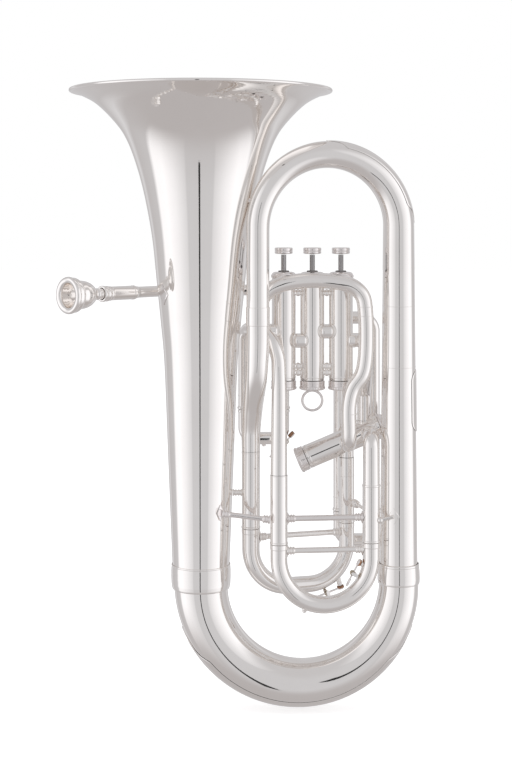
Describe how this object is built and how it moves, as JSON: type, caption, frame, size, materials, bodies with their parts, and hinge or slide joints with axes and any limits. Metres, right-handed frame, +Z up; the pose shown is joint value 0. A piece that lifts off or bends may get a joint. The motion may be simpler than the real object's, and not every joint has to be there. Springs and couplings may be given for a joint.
{
  "type": "euphonium",
  "caption": "Silver-plated upright compensating euphonium with top and side pistons, tuning slides, water keys and mouthpiece.",
  "frame": {"origin": "lowest point of the bottom bow, where a stand's cradle takes it", "axes": "+Z up along the bell, +X from the bell to the outer branch, -Y the side that the mouthpiece leans to"},
  "size_m": [0.4152, 0.3048, 0.7156],
  "materials": {
    "silver_plate": "bright silver plate over brass, mirror polish",
    "valve_stem": "grey nickel alloy, satin",
    "spring_wire": "drawn spring wire",
    "key_cork": "pressed cork, matt"
  },
  "bodies": {
    "instrument": {"bell": "silver_plate", "bell_ferrule": "silver_plate", "bottom_bow": "silver_plate", "bottom_bow_guard": "silver_plate", "branch_ferrule": "silver_plate", "outer_branch": "silver_plate", "hand_guard": "silver_plate", "top_bow": "silver_plate", "top_bow_guard": "silver_plate", "inner_branch": "silver_plate", "inner_branch_ferrule": "silver_plate", "slide_lead_tube": "silver_plate", "main_slide_sleeve_left": "silver_plate", "main_slide_sleeve_right": "silver_plate", "valve_casing_1": "silver_plate", "valve_casing_2": "silver_plate", "valve_casing_3": "silver_plate", "valve_casing_4": "silver_plate", "bottom_cap_1": "silver_plate", "bottom_cap_2": "silver_plate", "bottom_cap_3": "silver_plate", "bottom_cap_4": "silver_plate", "top_cap_1": "silver_plate", "top_cap_2": "silver_plate", "top_cap_3": "silver_plate", "top_cap_4": "silver_plate", "spring_1": "spring_wire", "spring_2": "spring_wire", "spring_3": "spring_wire", "spring_4": "spring_wire", "finger_ring": "silver_plate", "valve_link_tube": "silver_plate", "crossover_tube": "silver_plate", "fourth_slide_sleeve_left": "silver_plate", "fourth_slide_sleeve_right": "silver_plate", "fourth_slide_stay": "silver_plate", "bell_stay": "silver_plate", "first_slide_tube_left": "silver_plate", "first_slide_tube_right": "silver_plate", "third_slide_tube_left": "silver_plate", "third_slide_tube_right": "silver_plate", "leadpipe": "silver_plate", "mouthpiece_receiver": "silver_plate"},
    "valve_1": {"piston_1": "valve_stem", "button_1": "silver_plate"},
    "valve_2": {"piston_2": "valve_stem", "button_2": "silver_plate"},
    "valve_3": {"piston_3": "valve_stem", "button_3": "silver_plate"},
    "valve_4": {"piston_4": "valve_stem", "button_4": "silver_plate"},
    "main_slide_body": {"main_tuning_slide": "silver_plate"},
    "main_key_body": {"main_water_key": "silver_plate"},
    "fourth_slide_body": {"fourth_slide": "silver_plate"},
    "fourth_key_body": {"fourth_water_key": "silver_plate"},
    "first_slide_body": {"first_slide": "silver_plate"},
    "first_key_body": {"first_water_key": "silver_plate"},
    "second_slide_body": {"second_slide": "silver_plate"},
    "third_slide_body": {"third_slide": "silver_plate"},
    "mouthpiece_body": {"mouthpiece": "silver_plate"}
  },
  "joints": [
    {"name": "valve_1_press", "type": "slide", "parent": "instrument", "child": "valve_1", "axis": [0, 0, -1], "range_m": [0, 0.017], "stiffness_N_per_m": 150, "springref_m": -0.025, "deforming": ["spring_1"]},
    {"name": "valve_2_press", "type": "slide", "parent": "instrument", "child": "valve_2", "axis": [0, 0, -1], "range_m": [0, 0.017], "stiffness_N_per_m": 150, "springref_m": -0.025, "deforming": ["spring_2"]},
    {"name": "valve_3_press", "type": "slide", "parent": "instrument", "child": "valve_3", "axis": [0, 0, -1], "range_m": [0, 0.017], "stiffness_N_per_m": 150, "springref_m": -0.025, "deforming": ["spring_3"]},
    {"name": "valve_4_press", "type": "slide", "parent": "instrument", "child": "valve_4", "axis": [-0.9205, 0, -0.3907], "range_m": [0, 0.017], "stiffness_N_per_m": 150, "springref_m": -0.025, "deforming": ["spring_4"]},
    {"name": "main_slide_pull", "type": "slide", "parent": "instrument", "child": "main_slide_body", "axis": [0, 0, -1], "range_m": [0, 0.055]},
    {"name": "fourth_slide_pull", "type": "slide", "parent": "instrument", "child": "fourth_slide_body", "axis": [0, 0, -1], "range_m": [0, 0.036]},
    {"name": "first_slide_pull", "type": "slide", "parent": "instrument", "child": "first_slide_body", "axis": [0, 0, -1], "range_m": [0, 0.028]},
    {"name": "second_slide_pull", "type": "slide", "parent": "instrument", "child": "second_slide_body", "axis": [0, 1, 0], "range_m": [0, 0.012]},
    {"name": "third_slide_pull", "type": "slide", "parent": "instrument", "child": "third_slide_body", "axis": [0, 0, -1], "range_m": [0, 0.05]},
    {"name": "main_key_open", "type": "hinge", "parent": "main_slide_body", "child": "main_key_body", "pos_m": [0.03291, 0.02696, 0.1243], "axis": [-0.2878, 0.9577, 0], "range_deg": [0, 15], "stiffness_Nm_per_rad": 0.02, "springref_deg": -28.65},
    {"name": "fourth_key_open", "type": "hinge", "parent": "fourth_slide_body", "child": "fourth_key_body", "pos_m": [0.06007, -0.01713, 0.15873], "axis": [0.0983, -0.9952, 0], "range_deg": [0, 9], "stiffness_Nm_per_rad": 0.02, "springref_deg": -28.65},
    {"name": "first_key_open", "type": "hinge", "parent": "first_slide_body", "child": "first_key_body", "pos_m": [-0.01453, 0.055, 0.29903], "axis": [0, 1, 0], "range_deg": [0, 15], "stiffness_Nm_per_rad": 0.02, "springref_deg": -28.65},
    {"name": "mouthpiece_pull", "type": "slide", "parent": "instrument", "child": "mouthpiece_body", "axis": [-0.7071, -0.7071, 0], "range_m": [0, 0.03]}
  ]
}
